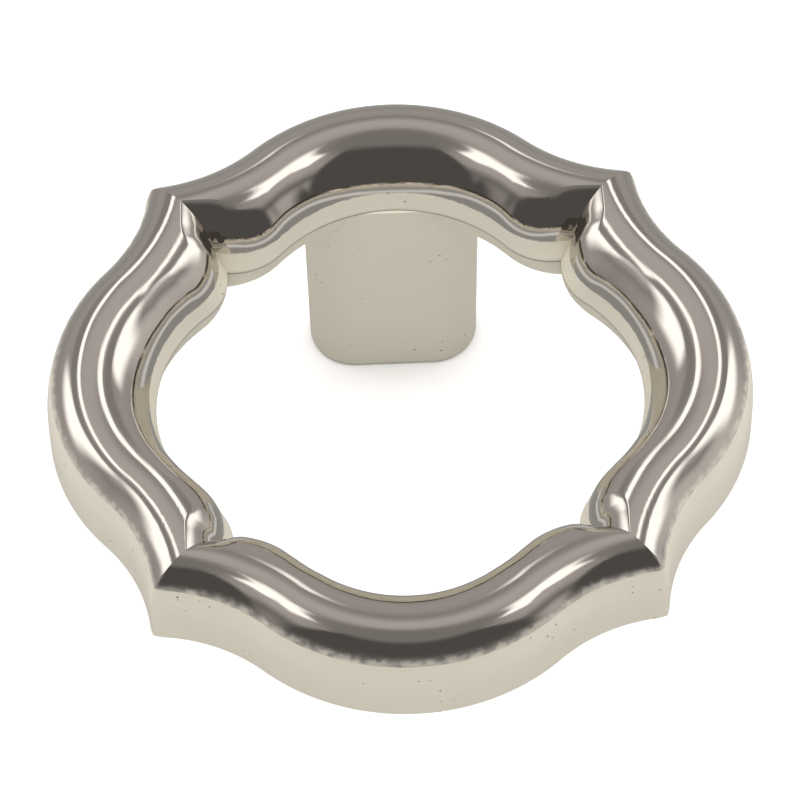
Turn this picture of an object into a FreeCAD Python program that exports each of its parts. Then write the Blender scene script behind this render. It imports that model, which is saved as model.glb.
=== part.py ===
"""Ring pull handle: a quatrefoil ring with mitred corners, on one post that takes a screw from behind.

The whole handle is one casting. One eighth of the ring is modelled, from the top of a lobe to a mitre,
then mirrored and repeated round the ring's centre. The post and its screw hole follow.

Body frame: the ring's centre is the origin, and z = 0 is the edge where the crown meets the outer wall.
The finished part is moved so that its origin is the mouth of the screw hole, with +Z out of the drawer front.
"""
import FreeCAD, Part
import math
import operator
import os

import Sketcher

V = FreeCAD.Vector
UP = V(0, 0, 1)

# Driving dimensions in millimetres (slopes in degrees): name, value, meaning.
SIZES = (
    # outline of the edge between the crown and the outer wall
    ("lobe_reach", 27.65, "ring centre to the top of a lobe"),
    ("tip_reach", 19.7, "ring centre to a mitre tip, along X and along Y"),
    ("lobe_radius", 16.7, "convex arc of a lobe"),
    ("ogee_radius", 14.2, "concave arc between a lobe and a tip"),
    # ring section
    ("wall_height", 6.05, "underside to the crown's outer edge"),
    ("belt_drop", 2.3, "crown's outer edge down to the belt, where the outer wall turns upright"),
    ("belt_swell", 0.5, "how far the belt stands out past the crown's outer edge"),
    ("base_break", 0.25, "chamfer on the outer wall's lower edge"),
    ("crown_rise", 1.5, "crown's outer edge to its highest line, upwards"),
    ("crown_peak", 3.2, "crown's outer edge to its highest line, inwards"),
    ("roll_radius", 2.3, "round from the crown down to the lip"),
    ("blank_spare", 1.3, "stock left inside the seam before the opening is cut"),
    # opening at the lip, where the roll ends
    ("lip_width", 6.9, "crown's outer edge in to the lip, at the top of a lobe"),
    ("lip_corner", 5.05, "reach of the lip's mitre past half the tip's"),
    ("lip_tuck", 4.6, "how much tighter the lip's convex arc is than the lobe's"),
    ("lip_ogee", 5.0, "concave arc of the lip"),
    ("lip_drop", 2.1, "crown's outer edge down to the lip"),
    ("lip_turn", 1.0, "radius on which the roll wraps round the lip's mitre"),
    ("lip_wrap", 20.5, "angle through which it wraps, until it runs straight on"),
    ("roll_clear", 0.4, "how far the roll's cutter reaches into the opening"),
    # opening at the seam, the casting's narrowest line
    ("seam_width", 8.15, "crown's outer edge in to the seam, at the top of a lobe"),
    ("seam_corner", 3.75, "reach of the seam's mitre past half the tip's"),
    ("seam_tuck", 4.5, "how much tighter the seam's convex arc is than the lobe's"),
    ("seam_ogee", 5.0, "concave arc of the seam"),
    ("seam_drop", 3.35, "crown's outer edge down to the seam"),
    # opening at the sole, the underside's inner edge
    ("sole_width", 7.57, "crown's outer edge in to the sole, at the top of a lobe"),
    ("sole_corner", 3.85, "reach of the sole's mitre past half the tip's"),
    ("sole_tuck", 4.2, "how much tighter the sole's convex arc is than the lobe's"),
    ("sole_ogee", 6.5, "concave arc of the sole"),
    ("sole_break", 0.4, "chamfer along the sole"),
    # post
    ("post_inset", 4.25, "crown's outer edge in to the post's axis"),
    ("post_width", 14.8, "post across, at the seam"),
    ("post_depth", 8.3, "post front to back, at the seam"),
    ("post_draft", 0.7, "slope of the post's sides"),
    ("foot_drop", 25.1, "crown's outer edge down to the foot"),
    # screw hole
    ("screw_bore", 3.3, "bore for an M4 thread"),
    ("screw_depth", 14.0, "full depth of the bore's wall"),
)

# Each outline as formulas of sizes: reach at a lobe, reach at a mitre, convex and concave radius.
OUTLINES = {
    "crown": ("lobe_reach", "tip_reach", "lobe_radius", "ogee_radius"),
    "lip": ("lobe_reach - lip_width", "tip_reach / 2 + lip_corner", "lobe_radius - lip_tuck", "lip_ogee"),
    "seam": (
        "lobe_reach - seam_width",
        "tip_reach / 2 + seam_corner",
        "lobe_radius - seam_tuck",
        "seam_ogee",
    ),
    "sole": (
        "lobe_reach - sole_width",
        "tip_reach / 2 + sole_corner",
        "lobe_radius - sole_tuck",
        "sole_ogee",
    ),
    "sole edge": (
        "lobe_reach - sole_width + sole_break",
        "tip_reach / 2 + sole_corner + sole_break",
        "lobe_radius - sole_tuck + sole_break",
        "sole_ogee - sole_break",
    ),
}
BLANK_SPAN = "seam_width + blank_spare"
POST_REACH = "lobe_reach - post_inset"
OPERATORS = {"+": operator.add, "-": operator.sub, "/": operator.truediv}


def make_sheet(doc):
    """Write the driving dimensions to a spreadsheet, one aliased cell each."""
    sheet = doc.addObject("Spreadsheet::Sheet", "Sizes")
    for row, (name, value, meaning) in enumerate(SIZES, start=1):
        sheet.set(f"A{row}", name)
        sheet.set(f"B{row}", str(value))
        sheet.setAlias(f"B{row}", name)
        sheet.set(f"C{row}", meaning)
    doc.recompute()
    return sheet


def total(sheet, formula):
    """Value of a formula such as "lobe_reach - lip_width", worked from left to right."""
    words = formula.split()
    amounts = [float(word) if word.isdigit() else getattr(sheet, word) for word in words[::2]]
    value = amounts[0]
    for sign, amount in zip(words[1::2], amounts[1:]):
        value = OPERATORS[sign](value, amount)
    return value


def bound(formula):
    """The same formula as an expression on the sheet."""
    words = formula.split()
    return " ".join(f"Sizes.{word}" if word[0].isalpha() else word for word in words)


def origin_item(body, role):
    """One of the body's own origin planes or axes, by its role."""
    return next(item for item in body.Origin.OriginFeatures if item.Role == role)


def new_sketch(body, name, role, height=None):
    """An empty sketch on an origin plane, raised by an expression where a height is given."""
    sketch = body.newObject("Sketcher::SketchObject", name)
    sketch.AttachmentSupport = (origin_item(body, role), "")
    sketch.MapMode = "FlatFace"
    if height:
        sketch.setExpression("AttachmentOffset.Base.z", height)
    return sketch


def relate(sketch, kind, *where):
    """Add one constraint without a size."""
    sketch.addConstraint(Sketcher.Constraint(kind, *where))


def dimension(sketch, kind, where, value, expression):
    """Add one driving dimension and tie it to the sheet."""
    index = sketch.addConstraint(Sketcher.Constraint(kind, *where, value))
    sketch.setExpression(f"Constraints[{index}]", expression)


def join(sketch, *pairs):
    """Make pairs of (edge, end) meet."""
    for first, second in pairs:
        relate(sketch, "Coincident", *first, *second)


def ogee_centres(reach, corner, convex, concave):
    """Centres of the two arcs that run from the top of a lobe to a mitre.

    The convex arc's centre is on the lobe's axis. The concave arc touches it from outside and ends at the
    mitre, so its centre is where two circles cross, on the side away from the ring's centre.
    """
    lobe = V(0, reach - convex, 0)
    span = V(corner, corner, 0) - lobe
    along = ((convex + concave) ** 2 - concave ** 2 + span.Length ** 2) / (2 * span.Length)
    aside = math.sqrt((convex + concave) ** 2 - along ** 2)
    unit = span / span.Length
    return lobe, lobe + unit * along + V(-unit.y, unit.x, 0) * aside


def add_ogee(sketch, sheet, outline, overrun=0.0):
    """Draw and constrain the convex and the concave arc of one outline.

    Returns the edge numbers of the two arcs. The convex arc ends on the lobe's axis, and the concave arc ends
    on the mitre, or an angle past it where an overrun is given.
    """
    reach, corner, convex, concave = (total(sheet, formula) for formula in OUTLINES[outline])
    lobe, ogee = ogee_centres(reach, corner, convex, concave)
    turn = math.atan2(ogee.y - lobe.y, ogee.x - lobe.x)
    end = math.atan2(corner - ogee.y, corner - ogee.x) + overrun
    lobe_arc = sketch.addGeometry(Part.ArcOfCircle(Part.Circle(lobe, UP, convex), turn, math.pi / 2))
    ogee_arc = sketch.addGeometry(Part.ArcOfCircle(Part.Circle(ogee, UP, concave), turn - math.pi, end))
    relate(sketch, "PointOnObject", lobe_arc, 3, -2)
    relate(sketch, "PointOnObject", lobe_arc, 2, -2)
    relate(sketch, "Tangent", lobe_arc, 1, ogee_arc, 1)
    dimension(sketch, "Radius", (lobe_arc,), convex, bound(OUTLINES[outline][2]))
    dimension(sketch, "Radius", (ogee_arc,), concave, bound(OUTLINES[outline][3]))
    dimension(sketch, "DistanceY", (-1, 1, lobe_arc, 2), reach, bound(OUTLINES[outline][0]))
    return lobe_arc, ogee_arc


def ring_path(body, sheet):
    """Path of the ring's section: the crown's outer edge, its concave arc carried a little past the mitre."""
    past_mitre = math.radians(30)
    sketch = new_sketch(body, "RingPath", "XY_Plane")
    _, ogee_arc = add_ogee(sketch, sheet, "crown", past_mitre)
    tip = sketch.addGeometry(Part.Point(V(sheet.tip_reach, sheet.tip_reach, 0)), True)
    relate(sketch, "PointOnObject", tip, 1, ogee_arc)
    dimension(sketch, "DistanceX", (-1, 1, tip, 1), sheet.tip_reach, "Sizes.tip_reach")
    dimension(sketch, "DistanceY", (-1, 1, tip, 1), sheet.tip_reach, "Sizes.tip_reach")
    return sketch


def lip_path(body, sheet):
    """Path of the roll: the lip, turned on past the mitre so that the roll wraps round the corner."""
    sketch = new_sketch(body, "LipPath", "XY_Plane")
    _, ogee_arc = add_ogee(sketch, sheet, "lip")
    corner = total(sheet, OUTLINES["lip"][1])
    arc = sketch.Geometry[ogee_arc]
    heading = arc.tangent(arc.LastParameter)[0]
    mitre = V(corner, corner, 0)
    centre = mitre + V(heading.y, -heading.x, 0) * sheet.lip_turn
    start = math.atan2(mitre.y - centre.y, mitre.x - centre.x)
    stop = start - math.radians(sheet.lip_wrap)
    wrap = sketch.addGeometry(Part.ArcOfCircle(Part.Circle(centre, UP, sheet.lip_turn), stop, start))
    spoke = V(math.cos(stop), math.sin(stop), 0)
    turned = centre + spoke * sheet.lip_turn
    length = sheet.tip_reach / 2
    run_out = sketch.addGeometry(Part.LineSegment(turned, turned + V(spoke.y, -spoke.x, 0) * length))
    relate(sketch, "Tangent", ogee_arc, 2, wrap, 2)
    relate(sketch, "Tangent", wrap, 1, run_out, 1)
    dimension(sketch, "DistanceX", (-1, 1, ogee_arc, 2), corner, bound(OUTLINES["lip"][1]))
    dimension(sketch, "DistanceY", (-1, 1, ogee_arc, 2), corner, bound(OUTLINES["lip"][1]))
    dimension(sketch, "Radius", (wrap,), sheet.lip_turn, "Sizes.lip_turn")
    dimension(sketch, "Angle", (wrap,), math.radians(sheet.lip_wrap), "Sizes.lip_wrap")
    dimension(sketch, "Distance", (run_out,), length, "Sizes.tip_reach / 2")
    return sketch


def ring_section(body, sheet):
    """Section at the top of a lobe: belted outer wall, crown, and a plain blank on the inside."""
    sketch = new_sketch(body, "RingSection", "YZ_Plane")
    outer = sheet.lobe_reach
    inner = outer - total(sheet, BLANK_SPAN)
    base = -sheet.wall_height
    edge = V(outer, 0, 0)
    belt = V(outer + sheet.belt_swell, -sheet.belt_drop, 0)
    peak = V(outer - sheet.crown_peak, sheet.crown_rise, 0)
    crown = (sheet.crown_peak ** 2 + sheet.crown_rise ** 2) / (2 * sheet.crown_rise)
    steep = math.asin(sheet.crown_peak / crown)
    break_top = V(belt.x, base + sheet.base_break, 0)
    break_low = V(break_top.x - sheet.base_break, base, 0)
    wall = sketch.addGeometry(Part.LineSegment(belt, edge))
    upright = sketch.addGeometry(Part.LineSegment(break_top, belt))
    crown_circle = Part.Circle(peak - V(0, crown, 0), UP, crown)
    dome = sketch.addGeometry(Part.ArcOfCircle(crown_circle, math.pi / 2 - steep, math.pi / 2))
    land = sketch.addGeometry(Part.LineSegment(peak, V(inner, sheet.crown_rise, 0)))
    side = sketch.addGeometry(Part.LineSegment(V(inner, sheet.crown_rise, 0), V(inner, base, 0)))
    under = sketch.addGeometry(Part.LineSegment(V(inner, base, 0), break_low))
    low = sketch.addGeometry(Part.LineSegment(break_low, break_top))
    join(sketch, ((wall, 2), (dome, 1)), ((land, 2), (side, 1)), ((side, 2), (under, 1)))
    join(sketch, ((under, 2), (low, 1)), ((low, 2), (upright, 1)), ((upright, 2), (wall, 1)))
    relate(sketch, "Tangent", dome, 2, land, 1)
    relate(sketch, "Horizontal", land)
    relate(sketch, "Vertical", side)
    relate(sketch, "Vertical", upright)
    relate(sketch, "Horizontal", under)
    relate(sketch, "PointOnObject", wall, 2, -1)
    dimension(sketch, "DistanceX", (-1, 1, wall, 2), outer, "Sizes.lobe_reach")
    dimension(sketch, "DistanceX", (land, 1, wall, 2), sheet.crown_peak, "Sizes.crown_peak")
    dimension(sketch, "DistanceY", (wall, 2, land, 1), sheet.crown_rise, "Sizes.crown_rise")
    dimension(sketch, "DistanceX", (side, 1, wall, 2), outer - inner, bound(BLANK_SPAN))
    dimension(sketch, "DistanceY", (under, 1, -1, 1), sheet.wall_height, "Sizes.wall_height")
    dimension(sketch, "DistanceX", (low, 1, low, 2), sheet.base_break, "Sizes.base_break")
    dimension(sketch, "DistanceY", (low, 1, low, 2), sheet.base_break, "Sizes.base_break")
    dimension(sketch, "DistanceX", (wall, 2, wall, 1), sheet.belt_swell, "Sizes.belt_swell")
    dimension(sketch, "DistanceY", (wall, 1, wall, 2), sheet.belt_drop, "Sizes.belt_drop")
    return sketch


def mitre_cut(body, sheet):
    """Everything on the far side of the mitre plane, as a triangle that reaches past the ring."""
    sketch = new_sketch(body, "MitreCut", "XY_Plane")
    far = 2 * sheet.lobe_reach
    slant = sketch.addGeometry(Part.LineSegment(V(0, 0, 0), V(far, far, 0)))
    drop = sketch.addGeometry(Part.LineSegment(V(far, far, 0), V(far, 0, 0)))
    back = sketch.addGeometry(Part.LineSegment(V(far, 0, 0), V(0, 0, 0)))
    join(sketch, ((slant, 2), (drop, 1)), ((drop, 2), (back, 1)), ((back, 2), (slant, 1)))
    join(sketch, ((slant, 1), (-1, 1)))
    relate(sketch, "Horizontal", back)
    relate(sketch, "Vertical", drop)
    relate(sketch, "Equal", back, drop)
    dimension(sketch, "DistanceX", (-1, 1, drop, 1), far, "2 * Sizes.lobe_reach")
    return sketch


def opening_section(body, sheet, name, outline, height):
    """One eighth of the opening at one height: the ring's centre, the lobe's axis, two arcs and the mitre."""
    sketch = new_sketch(body, name, "XY_Plane", height)
    lobe_arc, ogee_arc = add_ogee(sketch, sheet, outline)
    reach, corner = (total(sheet, formula) for formula in OUTLINES[outline][:2])
    axis = sketch.addGeometry(Part.LineSegment(V(0, 0, 0), V(0, reach, 0)))
    mitre = sketch.addGeometry(Part.LineSegment(V(corner, corner, 0), V(0, 0, 0)))
    join(sketch, ((axis, 1), (-1, 1)), ((axis, 2), (lobe_arc, 2)))
    join(sketch, ((mitre, 1), (ogee_arc, 2)), ((mitre, 2), (-1, 1)))
    dimension(sketch, "DistanceX", (-1, 1, mitre, 1), corner, bound(OUTLINES[outline][1]))
    dimension(sketch, "DistanceY", (-1, 1, mitre, 1), corner, bound(OUTLINES[outline][1]))
    return sketch


def post_outline(body, sheet, name, height):
    """Obround outline of the post at one height."""
    sketch = new_sketch(body, name, "XY_Plane", height)
    half = sheet.post_depth / 2
    run = (sheet.post_width - sheet.post_depth) / 2
    middle = total(sheet, POST_REACH)
    right_circle = Part.Circle(V(run, middle, 0), UP, half)
    left_circle = Part.Circle(V(-run, middle, 0), UP, half)
    right = sketch.addGeometry(Part.ArcOfCircle(right_circle, -math.pi / 2, math.pi / 2))
    back = sketch.addGeometry(Part.LineSegment(V(run, middle + half, 0), V(-run, middle + half, 0)))
    left = sketch.addGeometry(Part.ArcOfCircle(left_circle, math.pi / 2, 3 * math.pi / 2))
    front = sketch.addGeometry(Part.LineSegment(V(-run, middle - half, 0), V(run, middle - half, 0)))
    for edge, following in ((right, back), (back, left), (left, front), (front, right)):
        relate(sketch, "Tangent", edge, 2, following, 1)
    relate(sketch, "Horizontal", front)
    relate(sketch, "Symmetric", right, 3, left, 3, -2)
    dimension(sketch, "Radius", (right,), half, "Sizes.post_depth / 2")
    dimension(sketch, "DistanceX", (left, 3, right, 3), 2 * run, "Sizes.post_width - Sizes.post_depth")
    dimension(sketch, "DistanceY", (-1, 1, right, 3), middle, bound(POST_REACH))
    return sketch


def roll_section(body, sheet):
    """What the roll takes off the edge of the opening: a square corner less a quarter round."""
    sketch = new_sketch(body, "RollSection", "YZ_Plane")
    lip = total(sheet, OUTLINES["lip"][0])
    radius = sheet.roll_radius
    clear = sheet.crown_rise
    centre = V(lip + radius, sheet.crown_rise - radius, 0)
    top = centre + V(0, radius, 0)
    low = centre - V(radius, 0, 0)
    far = V(lip - sheet.roll_clear, top.y + clear, 0)
    circle = Part.Circle(centre, UP, radius)
    roll = sketch.addGeometry(Part.ArcOfCircle(circle, math.pi / 2, math.pi))
    rise = sketch.addGeometry(Part.LineSegment(top, V(top.x, far.y, 0)))
    head = sketch.addGeometry(Part.LineSegment(V(top.x, far.y, 0), far))
    core = sketch.addGeometry(Part.LineSegment(far, V(far.x, low.y, 0)))
    floor = sketch.addGeometry(Part.LineSegment(V(far.x, low.y, 0), low))
    join(sketch, ((roll, 1), (rise, 1)), ((rise, 2), (head, 1)), ((head, 2), (core, 1)))
    join(sketch, ((core, 2), (floor, 1)), ((floor, 2), (roll, 2)))
    for edge in (rise, core):
        relate(sketch, "Vertical", edge)
    for edge in (head, floor):
        relate(sketch, "Horizontal", edge)
    relate(sketch, "Vertical", roll, 3, roll, 1)
    relate(sketch, "Horizontal", roll, 3, roll, 2)
    dimension(sketch, "Radius", (roll,), radius, "Sizes.roll_radius")
    dimension(sketch, "DistanceX", (-1, 1, roll, 2), lip, bound(OUTLINES["lip"][0]))
    dimension(sketch, "DistanceY", (-1, 1, roll, 1), sheet.crown_rise, "Sizes.crown_rise")
    dimension(sketch, "DistanceX", (core, 1, roll, 2), sheet.roll_clear, "Sizes.roll_clear")
    dimension(sketch, "DistanceY", (roll, 1, head, 1), clear, "Sizes.crown_rise")
    return sketch


def build_ring(doc, body, sheet):
    """The ring: one eighth of it, mirrored and repeated."""
    # the section carried along the crown's outer edge and trimmed at the mitre
    sweep = body.newObject("PartDesign::AdditivePipe", "RingSweep")
    sweep.Profile = ring_section(body, sheet)
    sweep.Spine = (ring_path(body, sheet), ["Edge1", "Edge2"])
    trim = body.newObject("PartDesign::Pocket", "MitreTrim")
    trim.Profile = mitre_cut(body, sheet)
    trim.SideType = "Symmetric"
    trim.Type = "ThroughAll"
    doc.recompute()

    # the opening: straight down to the lip, in to the seam, on to the sole and out over its chamfer
    opening = body.newObject("PartDesign::SubtractiveLoft", "Opening")
    opening.Ruled = True
    opening.Profile = opening_section(body, sheet, "OpeningTop", "lip", "2 * Sizes.crown_rise")
    opening.Sections = [
        opening_section(body, sheet, "OpeningLip", "lip", "-Sizes.lip_drop"),
        opening_section(body, sheet, "OpeningSeam", "seam", "-Sizes.seam_drop"),
        opening_section(body, sheet, "OpeningSole", "sole", "Sizes.sole_break - Sizes.wall_height"),
        opening_section(body, sheet, "OpeningEdge", "sole edge", "-Sizes.wall_height"),
    ]
    doc.recompute()

    # the roll that carries the crown over into the opening
    roll = body.newObject("PartDesign::SubtractivePipe", "LipRoll")
    roll.Profile = roll_section(body, sheet)
    roll.Spine = (lip_path(body, sheet), ["Edge1", "Edge2", "Edge3", "Edge4"])
    doc.recompute()

    # the other half of the lobe, then the other three lobes
    flip = body.newObject("PartDesign::Mirrored", "HalfLobes")
    flip.TransformMode = "Whole shape"
    flip.MirrorPlane = (origin_item(body, "YZ_Plane"), [""])
    body.Tip = flip
    doc.recompute()
    lobes = body.newObject("PartDesign::PolarPattern", "Lobes")
    lobes.TransformMode = "Whole shape"
    lobes.Axis = (origin_item(body, "Z_Axis"), [""])
    lobes.Angle = 360
    lobes.Occurrences = 4
    body.Tip = lobes
    doc.recompute()


def build_post(doc, body, sheet):
    """The post, from inside the ring down to the foot."""
    post = body.newObject("PartDesign::Pad", "PostPad")
    post.Profile = post_outline(body, sheet, "PostOutline", "-Sizes.seam_drop")
    post.Reversed = True
    post.setExpression("Length", "Sizes.foot_drop - Sizes.seam_drop")
    post.setExpression("TaperAngle", "-Sizes.post_draft")
    body.Tip = post
    doc.recompute()


def build_screw_hole(doc, body, sheet):
    """The blind bore for the screw, drilled up into the foot."""
    mouth = new_sketch(body, "ScrewMouth", "XY_Plane", "-Sizes.foot_drop")
    reach = total(sheet, POST_REACH)
    bore = mouth.addGeometry(Part.Circle(V(0, reach, 0), UP, sheet.screw_bore / 2))
    relate(mouth, "PointOnObject", bore, 3, -2)
    dimension(mouth, "DistanceY", (-1, 1, bore, 3), reach, bound(POST_REACH))
    dimension(mouth, "Diameter", (bore,), sheet.screw_bore, "Sizes.screw_bore")
    doc.recompute()
    undrilled = body.Shape.Volume
    hole = body.newObject("PartDesign::Hole", "ScrewHole")
    hole.Profile = mouth
    doc.recompute()
    hole.Reversed = True
    hole.DepthType = "Dimension"
    hole.DrillPoint = "Angled"
    hole.setExpression("Diameter", "Sizes.screw_bore")
    hole.setExpression("Depth", "Sizes.screw_depth")
    body.Tip = hole
    doc.recompute()
    wall = math.pi * (sheet.screw_bore / 2) ** 2 * sheet.screw_depth
    if undrilled - body.Shape.Volume < 0.99 * wall:
        raise RuntimeError("the screw hole does not run into the post")


def check(doc, body):
    """Stop if any feature failed or the body is not one sound solid."""
    for item in doc.Objects:
        if "Invalid" in item.State or "Error" in item.State:
            raise RuntimeError(f"{item.Name} did not build: {item.State}")
        if hasattr(item, "Shape") and not item.TypeId.startswith("App::"):
            if item.Shape.isNull() or not item.Shape.isValid():
                raise RuntimeError(f"{item.Name} has no sound shape")
    if len(body.Shape.Solids) != 1:
        raise RuntimeError("the handle is not one solid")


def main():
    """Build the handle, check it and write its file."""
    doc = FreeCAD.newDocument("RingPull")
    sheet = make_sheet(doc)
    post = doc.addObject("PartDesign::Body", "Post")
    build_post(doc, post, sheet)
    build_screw_hole(doc, post, sheet)
    body = doc.addObject("PartDesign::Body", "RingPull")
    body.Label = "ring_pull"
    build_ring(doc, body, sheet)

    # ring and post are one casting
    casting = body.newObject("PartDesign::Boolean", "Casting")
    casting.Type = "Fuse"
    casting.setObjects([post])
    body.Tip = casting
    body.setExpression("Placement.Base.y", f"-({bound(POST_REACH)})")
    body.setExpression("Placement.Base.z", "Sizes.foot_drop")
    doc.recompute()
    check(doc, body)
    os.makedirs("parts", exist_ok=True)
    shape = body.Shape
    shape.exportStep(f"parts/{body.Label}.step")
    box = shape.optimalBoundingBox()
    size = f"{box.XLength:.2f} x {box.YLength:.2f} x {box.ZLength:.2f} mm"
    print(f"{body.Label}: {size}, {shape.Volume:.0f} mm3")


main()
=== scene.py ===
"""Ring pull handle in polished nickel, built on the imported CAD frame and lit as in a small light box.

The handle is one casting, so it is one piece: a closed numpy surface for the ring, and one for the post that
runs into it. Both follow the CAD outlines and stand for the CAD node. Lengths are in millimetres until they are
placed.
"""
import logging
import math
from dataclasses import dataclass, field
from enum import Enum
from typing import NamedTuple

import bpy
import numpy as np
from mathutils import Matrix, Vector


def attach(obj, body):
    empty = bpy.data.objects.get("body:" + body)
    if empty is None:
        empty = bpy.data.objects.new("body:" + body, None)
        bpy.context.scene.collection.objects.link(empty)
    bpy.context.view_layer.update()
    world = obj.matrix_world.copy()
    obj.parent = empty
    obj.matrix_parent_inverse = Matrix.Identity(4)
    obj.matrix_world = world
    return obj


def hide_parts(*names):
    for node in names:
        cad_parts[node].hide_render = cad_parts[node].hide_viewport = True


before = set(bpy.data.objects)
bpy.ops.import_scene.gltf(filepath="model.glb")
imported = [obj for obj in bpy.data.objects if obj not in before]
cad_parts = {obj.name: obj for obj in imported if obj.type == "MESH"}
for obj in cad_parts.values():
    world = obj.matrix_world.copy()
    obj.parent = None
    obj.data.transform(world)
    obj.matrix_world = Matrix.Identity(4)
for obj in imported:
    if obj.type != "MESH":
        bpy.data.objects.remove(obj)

LOG = logging.getLogger("ring_pull")
MM = 0.001
RING_CENTRE = (0.0, -0.0234, 0.0251)


class Mark(Enum):
    """Names of the vertex attributes that the finish reads."""

    SATIN = "satin"
    SEAM = "seam"
    RIM = "rim"
    GRAIN = "grain"


class Row(NamedTuple):
    """One row of a surface grid: where it lies and how it is finished.

    Args:
        plan: x, y of each point.
        height: z of each point.
        satin: how unpolished it is, 0 to 1.
        seam: how dark it is, as along the parting line.
        rim: how worn it is, as along an edge.
        across: distance over the section, for marks that run along the ring.
    """

    plan: np.ndarray
    height: np.ndarray
    satin: float
    seam: float
    rim: float
    across: float


@dataclass(frozen=True)
class Ogee:
    """Outline of half a lobe: a convex arc from the lobe's top, then a concave arc to the mitre on x = y.

    Args:
        reach: ring centre to the top of the lobe.
        corner: x and y of the mitre.
        convex: radius of the lobe's arc.
        concave: radius of the arc that leads to the mitre.
    """

    reach: float
    corner: float
    convex: float
    concave: float

    @property
    def lobe(self) -> np.ndarray:
        """Centre of the convex arc."""
        return np.array([0.0, self.reach - self.convex])

    @property
    def ogee(self) -> np.ndarray:
        """Centre of the concave arc: touches the convex arc from outside and is its radius from the mitre.

        Returns:
            x, y of the centre, where circles about the lobe's centre and the mitre cross.
        """
        span = np.array([self.corner, self.corner]) - self.lobe
        length = np.hypot(*span)
        both = self.convex + self.concave
        along = (both**2 - self.concave**2 + length**2) / (2 * length)
        aside = math.sqrt(both**2 - along**2)
        unit = span / length
        return self.lobe + unit * along + np.array([-unit[1], unit[0]]) * aside

    @property
    def turn(self) -> float:
        """Angle, at the lobe's centre, where the convex arc hands over to the concave one."""
        x, y = self.ogee - self.lobe
        return math.atan2(y, x)

    def end(self, grow: float = 0.0) -> float:
        """Angle, at the concave arc's centre, where the outline grown outwards crosses the mitre plane."""
        x, y = self.ogee
        return -math.pi / 4 - math.acos((y - x) / (math.sqrt(2) * (self.concave - grow)))

    def at(self, where: np.ndarray, grow: float = 0.0) -> np.ndarray:
        """Points of the outline grown outwards.

        Args:
            where: 0 to 1 along the convex arc, 1 to 2 along the concave arc.
            grow: distance outwards.

        Returns:
            Array of x, y rows.
        """
        first = math.pi / 2 + (self.turn - math.pi / 2) * np.clip(where, 0, 1)
        start = self.turn - math.pi
        second = start + (self.end(grow) - start) * np.clip(where - 1, 0, 1)
        on_lobe = self.lobe + (self.convex + grow) * np.stack([np.cos(first), np.sin(first)], -1)
        on_ogee = self.ogee + (self.concave - grow) * np.stack([np.cos(second), np.sin(second)], -1)
        return np.where((where <= 1)[:, None], on_lobe, on_ogee)

    def foot(self, plan: np.ndarray) -> np.ndarray:
        """Where along the outline the nearest point to each given point lies.

        Args:
            plan: array of x, y rows.

        Returns:
            Places as for at(): the angle about each arc's centre over the angle that the arc spans.
        """
        to_lobe = plan - self.lobe
        to_ogee = plan - self.ogee
        first = (math.pi / 2 - np.arctan2(to_lobe[:, 1], to_lobe[:, 0])) / (math.pi / 2 - self.turn)
        start = self.turn - math.pi
        second = 1 + (np.arctan2(to_ogee[:, 1], to_ogee[:, 0]) - start) / (self.end() - start)
        return np.where(first <= 1, first, np.clip(second, 1, 2))

    def inside(self, plan: np.ndarray) -> np.ndarray:
        """Distance of each point inwards from the outline.

        Args:
            plan: array of x, y rows.

        Returns:
            The radius less the distance to the centre by the convex arc, and the other way round by the concave.
        """
        on_lobe = self.foot(plan) <= 1
        from_lobe = self.convex - np.linalg.norm(plan - self.lobe, axis=-1)
        from_ogee = np.linalg.norm(plan - self.ogee, axis=-1) - self.concave
        return np.where(on_lobe, from_lobe, from_ogee)


@dataclass(frozen=True)
class Columns:
    """How half a lobe is divided along the ring: convex arc, concave arc, and a fan at the mitre.

    Args:
        convex: columns on the convex arc.
        concave: columns on the concave arc.
        fan: columns where the roll wraps round the lip's corner to the mitre.
    """

    convex: int = 46
    concave: int = 36
    fan: int = 14

    @property
    def where(self) -> np.ndarray:
        """Place of each column on an outline, with the fan's columns at the mitre.

        Returns:
            Places as for Ogee.at().
        """
        first = np.linspace(0, 1, self.convex)
        second = 1 + np.linspace(0, 1, self.concave + 1)[1:]
        return np.concatenate([first, second, np.full(self.fan, 2.0)])

    @property
    def spread(self) -> np.ndarray:
        """How far each column is opened in the fan, 0 before it and 1 on the mitre plane."""
        still = np.zeros(self.convex + self.concave)
        return np.concatenate([still, np.linspace(0, 1, self.fan + 1)[1:]])


@dataclass(frozen=True)
class Crown:
    """Section of the crown over its distance inwards: an arc up to the peak and a wider one down to the lip.

    Args:
        rise: height of the peak over the outer edge.
        peak: distance of the peak from the outer edge.
        land: radius of the wider arc.
        limit: sine of the steepest tilt that an arc may reach.
    """

    rise: float = 1.5
    peak: float = 2.85
    land: float = 5.02
    limit: float = 0.985

    @property
    def dome(self) -> float:
        """Radius of the outer arc, through the edge and level at the peak."""
        return (self.peak**2 + self.rise**2) / (2 * self.rise)

    def height(self, depth: np.ndarray) -> np.ndarray:
        """Height of the two arcs at a distance inwards.

        Args:
            depth: distances from the outer edge.

        Returns:
            The rise less the sagitta of a circle about a centre straight under the peak.
        """
        radius = np.where(depth < self.peak, self.dome, self.land)
        away = np.clip(np.abs(depth - self.peak) / radius, 0, self.limit)
        return self.rise - radius * (1 - np.sqrt(1 - away**2))


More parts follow.
